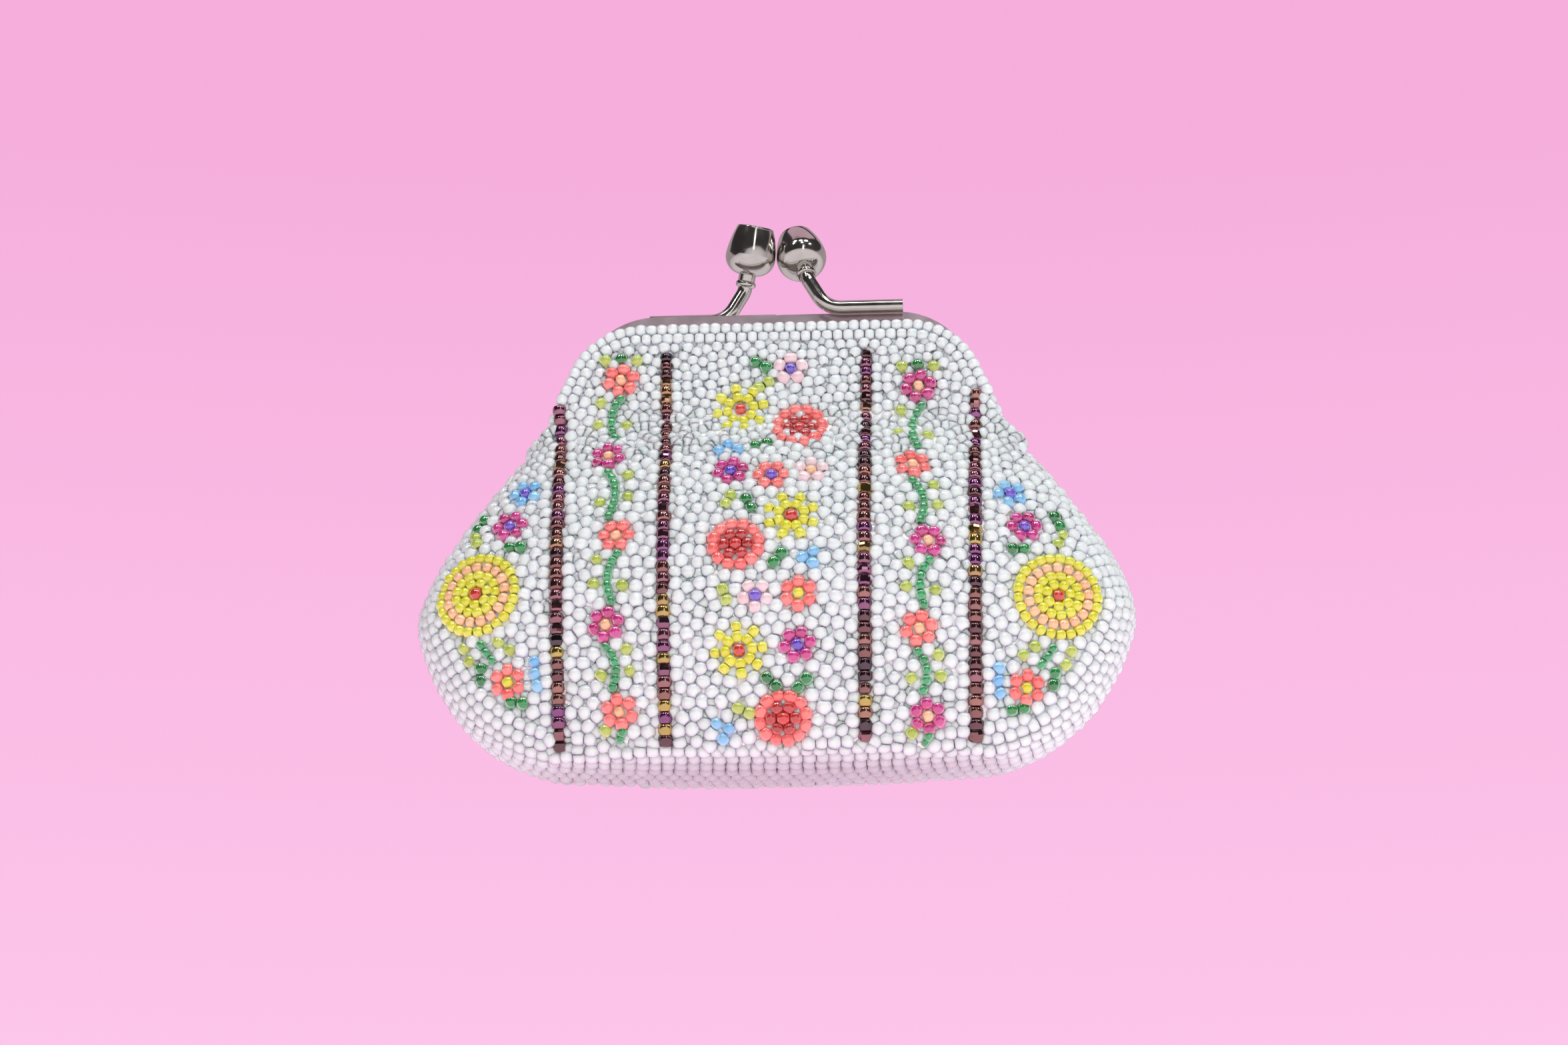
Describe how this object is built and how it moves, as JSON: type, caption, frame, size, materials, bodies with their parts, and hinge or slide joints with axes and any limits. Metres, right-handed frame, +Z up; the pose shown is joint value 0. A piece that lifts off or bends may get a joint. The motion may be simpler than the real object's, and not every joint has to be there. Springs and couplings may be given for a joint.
{
  "type": "kiss lock coin purse",
  "caption": "Beaded coin purse: a rounded pouch sewn all over with glass beads, on a hinged metal frame that snaps shut with two crossing knobs.",
  "frame": {"origin": "on the base, at the middle of the purse", "axes": "+Z up, +X to the right of someone facing the front, -Y towards them"},
  "size_m": [0.105, 0.0298, 0.0901],
  "materials": {
    "beads": "pearl lustre",
    "ground_cloth": "plain weave",
    "lining": "satin",
    "plated_metal": "polished nickel plate",
    "paper": "twisted paper cord"
  },
  "bodies": {
    "pouch": {"front_pouch_beads": "beads", "front_pouch_cloth": "ground_cloth", "front_pouch_lining": "lining", "front_fold_beads": "beads", "front_fold_cloth": "ground_cloth", "front_fold_lining": "lining", "rear_pouch_beads": "beads", "rear_pouch_cloth": "ground_cloth", "rear_pouch_lining": "lining", "rear_fold_beads": "beads", "rear_fold_cloth": "ground_cloth", "rear_fold_lining": "lining"},
    "front_frame": {"front_frame_channel": "plated_metal", "front_paper_cord": "paper", "front_clasp_arm": "plated_metal", "front_clasp_collar": "plated_metal", "front_clasp_knob": "plated_metal", "front_flap_beads": "beads", "front_flap_cloth": "ground_cloth", "front_flap_lining": "lining"},
    "rear_frame": {"rear_frame_channel": "plated_metal", "rear_paper_cord": "paper", "rear_clasp_arm": "plated_metal", "rear_clasp_collar": "plated_metal", "rear_clasp_knob": "plated_metal", "rear_flap_beads": "beads", "rear_flap_cloth": "ground_cloth", "rear_flap_lining": "lining", "hinge_rivet_left": "plated_metal", "hinge_rivet_right": "plated_metal"}
  },
  "joints": [
    {"name": "front_open", "type": "hinge", "parent": "pouch", "child": "front_frame", "pos_m": [0, 0, 0.0545], "axis": [1, 0, 0], "range_deg": [0, 45], "deforming": ["front_fold_beads", "front_fold_cloth", "front_fold_lining"]},
    {"name": "rear_open", "type": "hinge", "parent": "pouch", "child": "rear_frame", "pos_m": [0, 0, 0.0545], "axis": [1, 0, 0], "range_deg": [-45, 0], "deforming": ["rear_fold_beads", "rear_fold_cloth", "rear_fold_lining"]}
  ],
  "couplings": [
    {"joint": "rear_open", "follows": "front_open", "ratio": -1}
  ]
}
